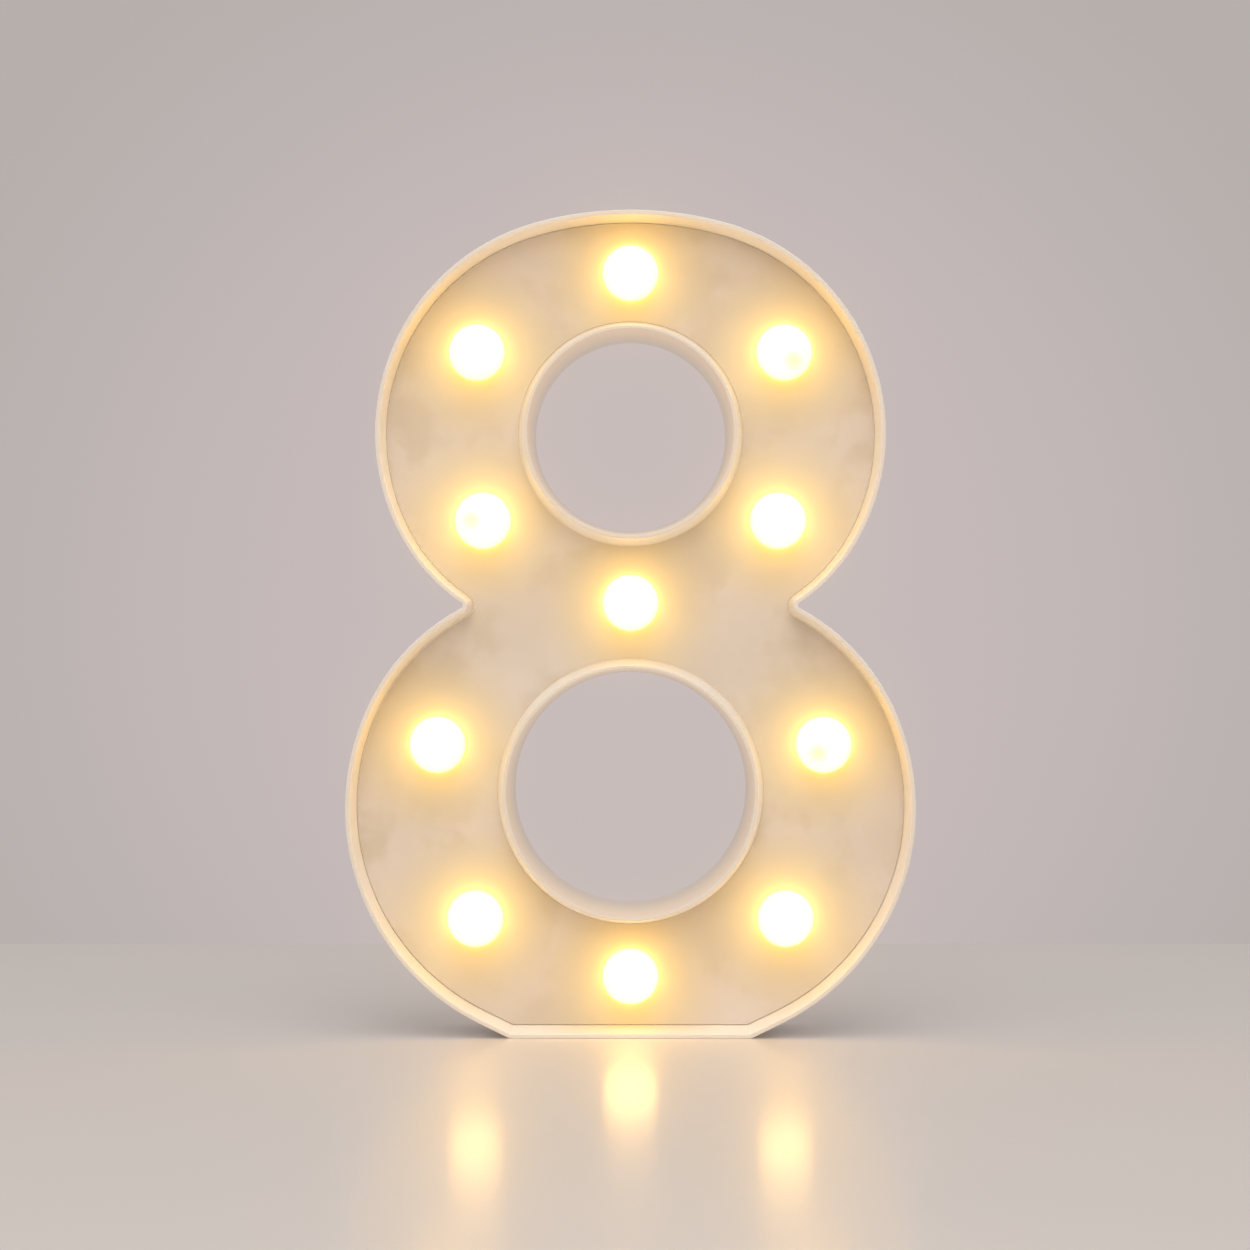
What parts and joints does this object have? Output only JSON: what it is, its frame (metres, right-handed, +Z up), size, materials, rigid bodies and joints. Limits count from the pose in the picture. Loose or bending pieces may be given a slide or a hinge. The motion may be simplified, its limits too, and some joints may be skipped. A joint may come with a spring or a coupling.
{
  "type": "led letter light",
  "caption": "Battery-lit marquee numeral 8: shallow plastic casing, recessed panel with frosted globe bulbs, hinged cell door and slide switch on the back.",
  "frame": {"origin": "centre of the base, on the surface that it stands on", "axes": "+Z up along the numeral's height, +X to the right seen from the front, +Y towards the back"},
  "size_m": [0.1516, 0.045, 0.22],
  "materials": {
    "shell_plastic": "fine satin, moulded",
    "panel_plastic": "matt sheet",
    "globe_plastic": "frosted, lit from inside",
    "led_epoxy": "clear resin over a yellow die",
    "screw_steel": "zinc plated",
    "contact_metal": "nickel plated",
    "switch_steel": "tin plated",
    "switch_board": "phenolic board",
    "knob_plastic": "black, moulded",
    "cell_wrap": "shrink sleeve, plain",
    "resistor_coat": "lacquer",
    "red_insulation": "PVC",
    "black_insulation": "PVC"
  },
  "bodies": {
    "root": {"casing": "shell_plastic", "upper_counter_tube": "shell_plastic", "lower_counter_tube": "shell_plastic", "front_panel": "panel_plastic", "back_cover": "shell_plastic", "cover_screws": "screw_steel", "battery_box": "shell_plastic", "box_screws": "screw_steel", "battery_cell_1": "cell_wrap", "battery_cell_2": "cell_wrap", "positive_plate": "contact_metal", "negative_plate": "contact_metal", "bridge_plate": "contact_metal", "negative_spring": "contact_metal", "bridge_spring": "contact_metal", "switch_frame": "switch_steel", "switch_base": "switch_board", "switch_terminals": "contact_metal", "switch_screws": "screw_steel", "resistor": "resistor_coat", "positive_wire": "red_insulation", "negative_wire": "black_insulation", "battery_lead": "red_insulation", "bulb_cover_01": "globe_plastic", "led_01": "led_epoxy", "bulb_cover_02": "globe_plastic", "led_02": "led_epoxy", "bulb_cover_03": "globe_plastic", "led_03": "led_epoxy", "bulb_cover_04": "globe_plastic", "led_04": "led_epoxy", "bulb_cover_05": "globe_plastic", "led_05": "led_epoxy", "bulb_cover_06": "globe_plastic", "led_06": "led_epoxy", "bulb_cover_07": "globe_plastic", "led_07": "led_epoxy", "bulb_cover_08": "globe_plastic", "led_08": "led_epoxy", "bulb_cover_09": "globe_plastic", "led_09": "led_epoxy", "bulb_cover_10": "globe_plastic", "led_10": "led_epoxy", "bulb_cover_11": "globe_plastic", "led_11": "led_epoxy"},
    "door": {"battery_door": "shell_plastic"},
    "knob": {"switch_knob": "knob_plastic"}
  },
  "joints": [
    {"name": "door_hinge", "type": "hinge", "parent": "root", "child": "door", "pos_m": [-0.02775, 0.02155, 0.1159], "axis": [0, 0, 1], "range_deg": [0, 100]},
    {"name": "switch_slide", "type": "slide", "parent": "root", "child": "knob", "axis": [1, 0, 0], "range_m": [0, 0.003]}
  ]
}
